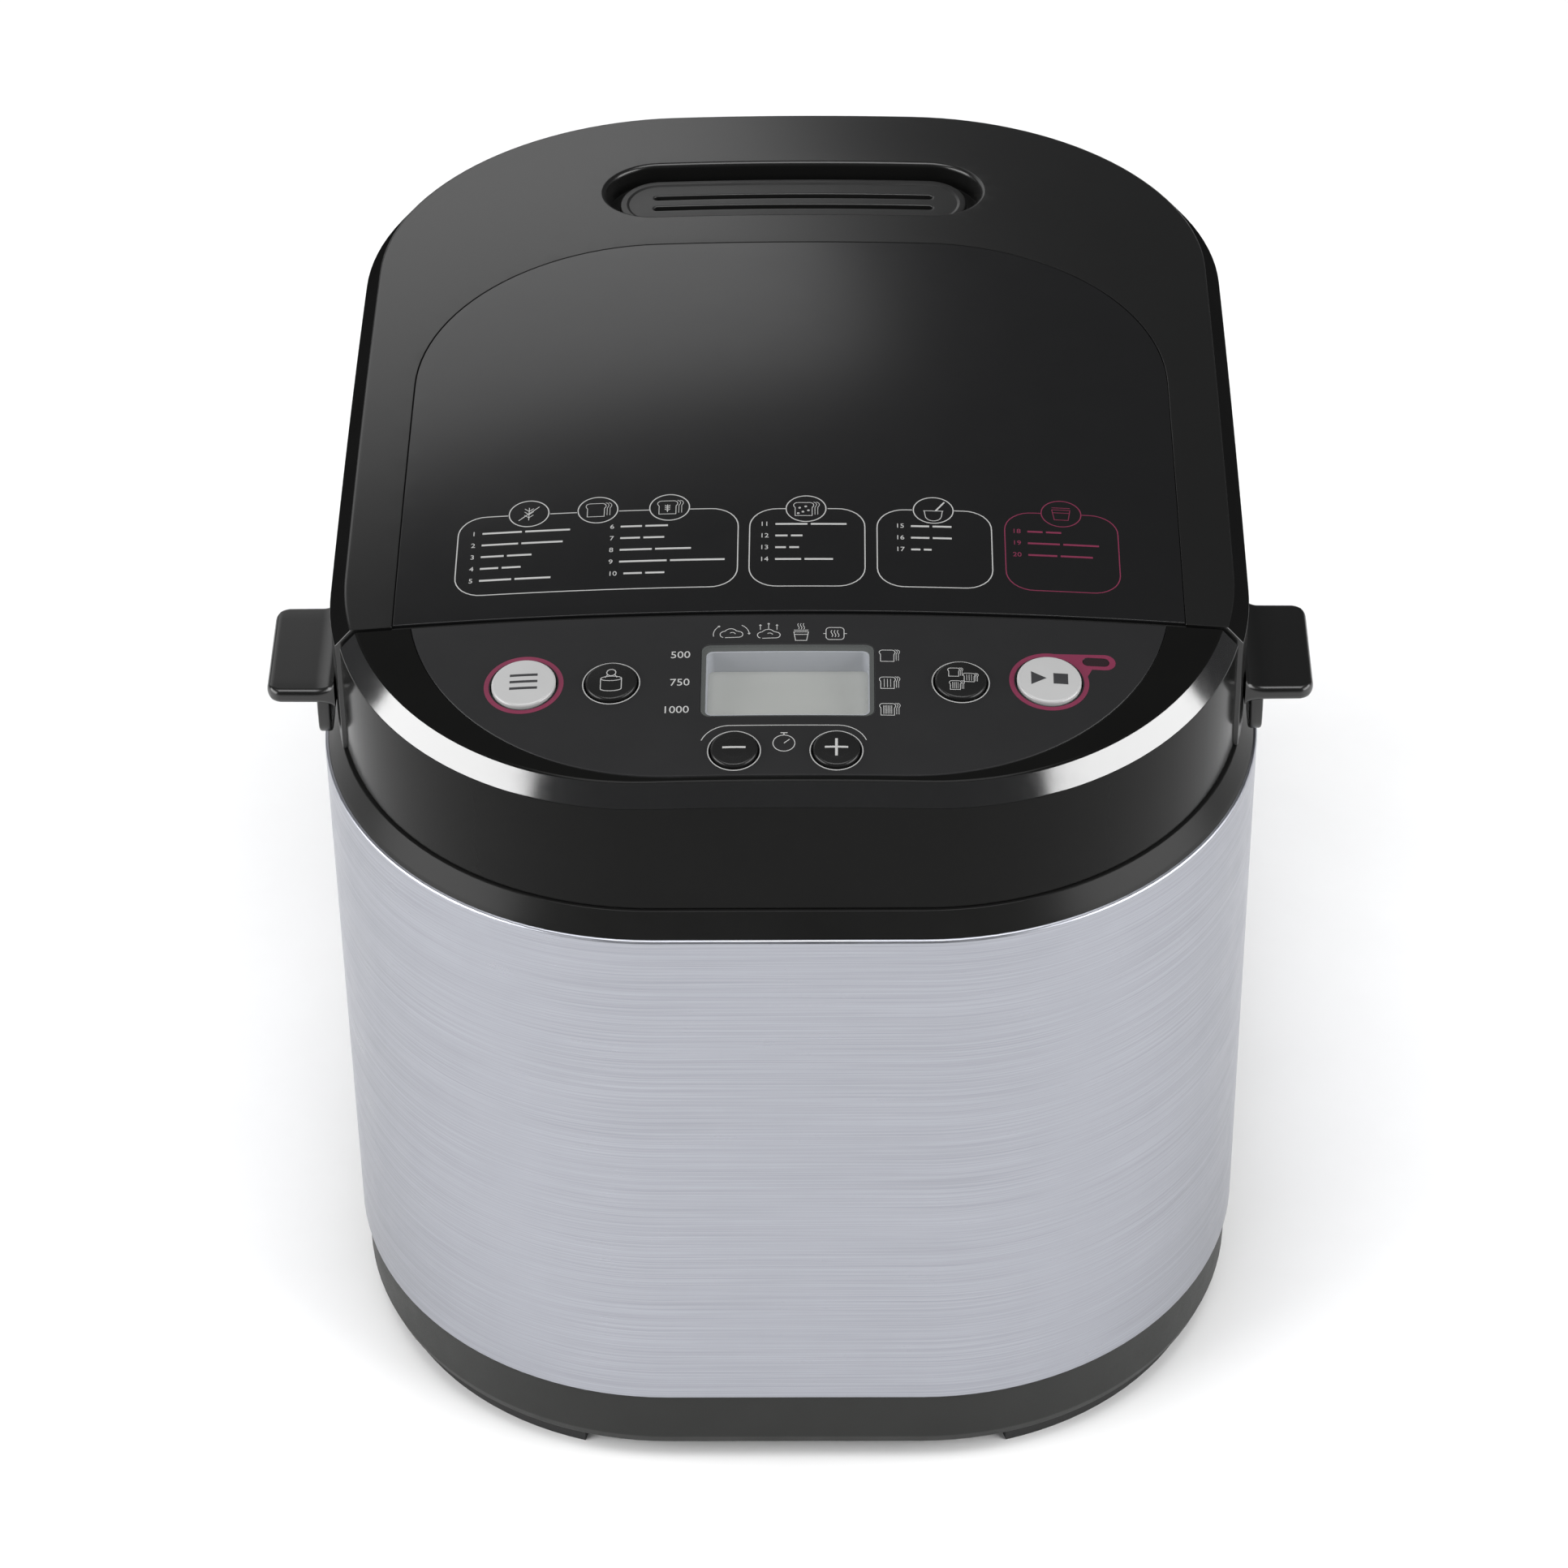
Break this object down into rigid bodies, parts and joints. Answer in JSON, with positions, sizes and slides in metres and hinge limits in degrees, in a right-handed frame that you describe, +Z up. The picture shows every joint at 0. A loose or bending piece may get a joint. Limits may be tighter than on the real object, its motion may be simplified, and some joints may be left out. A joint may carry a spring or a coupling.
{
  "type": "bread machine",
  "caption": "Countertop bread machine with hinged domed lid, side grips, push-button control housing, brushed body, removable kneading pan and belt-driven paddle.",
  "frame": {"origin": "on the floor below the centre of the body", "axes": "+Z up, front with the controls towards -Y, +X to the right seen from the front"},
  "size_m": [0.3094, 0.36, 0.2817],
  "materials": {
    "base_plastic": "satin, dark olive black",
    "rubber": "matt",
    "fastener_steel": "zinc plated",
    "wrap_steel": "horizontal brushing, cool tint",
    "gloss_black": "polished",
    "satin_black": "fine satin",
    "panel_black": "printed film",
    "window": "clear",
    "display": "grey green",
    "circuit_board": "solder mask",
    "switch_body": "moulded",
    "led_lens": "tinted",
    "chamber_steel": "coated sheet",
    "shield_steel": "galvanised sheet",
    "element": "oxidised tube",
    "ceramic": "ceramic",
    "pan_coating": "non-stick coating",
    "bronze": "sintered bronze",
    "shaft_steel": "ground",
    "cast_alloy": "cast",
    "lamination": "varnished laminations",
    "copper": "enamelled winding",
    "capacitor_white": "moulded",
    "phenolic": "phenolic board",
    "relay_blue": "moulded",
    "terminal_green": "moulded",
    "belt_rubber": "matt",
    "cap_grey": "light grey",
    "cap_black": "gloss",
    "silicone": "silicone",
    "liner": "satin sheet"
  },
  "bodies": {
    "machine_base": {"base_tray": "base_plastic", "rubber_feet": "rubber", "base_screws": "fastener_steel", "body_wrap": "wrap_steel", "rear_panel": "wrap_steel", "collar": "gloss_black", "control_housing": "gloss_black", "control_overlay": "panel_black", "display_window": "window", "display_module": "display", "control_board": "circuit_board", "tact_switches": "switch_body", "status_light": "led_lens", "inner_screws": "fastener_steel", "baking_chamber": "chamber_steel", "heat_shield": "shield_steel", "heating_element": "element", "element_terminals": "ceramic", "element_clips": "chamber_steel", "temperature_probe": "shaft_steel", "thermal_fuse": "ceramic", "pan_seat": "chamber_steel", "bread_pan": "pan_coating", "pan_handle": "shaft_steel", "pan_bushing": "bronze", "chassis_plate": "shield_steel", "bearing_housing": "cast_alloy", "drive_bearings": "bronze", "motor_mounts": "rubber", "motor_frame": "cast_alloy", "motor_stator": "lamination", "motor_windings": "copper", "run_capacitor": "capacitor_white", "power_board": "phenolic", "transformer": "lamination", "relay": "relay_blue", "terminal_block": "terminal_green", "cord_gland": "satin_black", "drive_belt": "belt_rubber", "hinge_brackets": "satin_black", "hinge_pins": "shaft_steel"},
    "lid": {"lid_shell": "satin_black", "lid_panel": "panel_black", "vent_insert": "gloss_black", "lid_liner": "liner", "lid_seal": "silicone"},
    "kneading_drive": {"kneading_paddle": "pan_coating", "pan_shaft": "shaft_steel", "drive_coupler": "cast_alloy", "drive_shaft": "shaft_steel", "shaft_clip": "fastener_steel", "drive_pulley": "switch_body"},
    "motor_rotor_body": {"motor_rotor": "lamination", "motor_pulley": "cast_alloy"},
    "menu_button_body": {"menu_button": "cap_grey"},
    "weight_button_body": {"weight_button": "cap_black"},
    "crust_button_body": {"crust_button": "cap_black"},
    "start_button_body": {"start_button": "cap_grey"},
    "minus_button_body": {"minus_button": "cap_black"},
    "plus_button_body": {"plus_button": "cap_black"}
  },
  "joints": [
    {"name": "lid_hinge", "type": "hinge", "parent": "machine_base", "child": "lid", "pos_m": [0, 0.171, 0.229], "axis": [-1, 0, 0], "range_deg": [0, 95]},
    {"name": "drive_spin", "type": "hinge", "parent": "machine_base", "child": "kneading_drive", "pos_m": [0, 0.035, 0.02], "axis": [0, 0, 1], "continuous": true},
    {"name": "motor_spin", "type": "hinge", "parent": "machine_base", "child": "motor_rotor_body", "pos_m": [-0.062, -0.112, 0.02], "axis": [0, 0, 1], "continuous": true},
    {"name": "menu_press", "type": "slide", "parent": "machine_base", "child": "menu_button_body", "axis": [0, 0, -1], "range_m": [0, 0.0008], "stiffness_N_per_m": 500, "springref_m": -0.001},
    {"name": "weight_press", "type": "slide", "parent": "machine_base", "child": "weight_button_body", "axis": [0, 0, -1], "range_m": [0, 0.0008], "stiffness_N_per_m": 500, "springref_m": -0.001},
    {"name": "crust_press", "type": "slide", "parent": "machine_base", "child": "crust_button_body", "axis": [0, 0, -1], "range_m": [0, 0.0008], "stiffness_N_per_m": 500, "springref_m": -0.001},
    {"name": "start_press", "type": "slide", "parent": "machine_base", "child": "start_button_body", "axis": [0, 0, -1], "range_m": [0, 0.0008], "stiffness_N_per_m": 500, "springref_m": -0.001},
    {"name": "minus_press", "type": "slide", "parent": "machine_base", "child": "minus_button_body", "axis": [0, 0, -1], "range_m": [0, 0.0008], "stiffness_N_per_m": 500, "springref_m": -0.001},
    {"name": "plus_press", "type": "slide", "parent": "machine_base", "child": "plus_button_body", "axis": [0, 0, -1], "range_m": [0, 0.0008], "stiffness_N_per_m": 500, "springref_m": -0.001}
  ],
  "couplings": [
    {"joint": "motor_spin", "follows": "drive_spin", "ratio": 5}
  ]
}
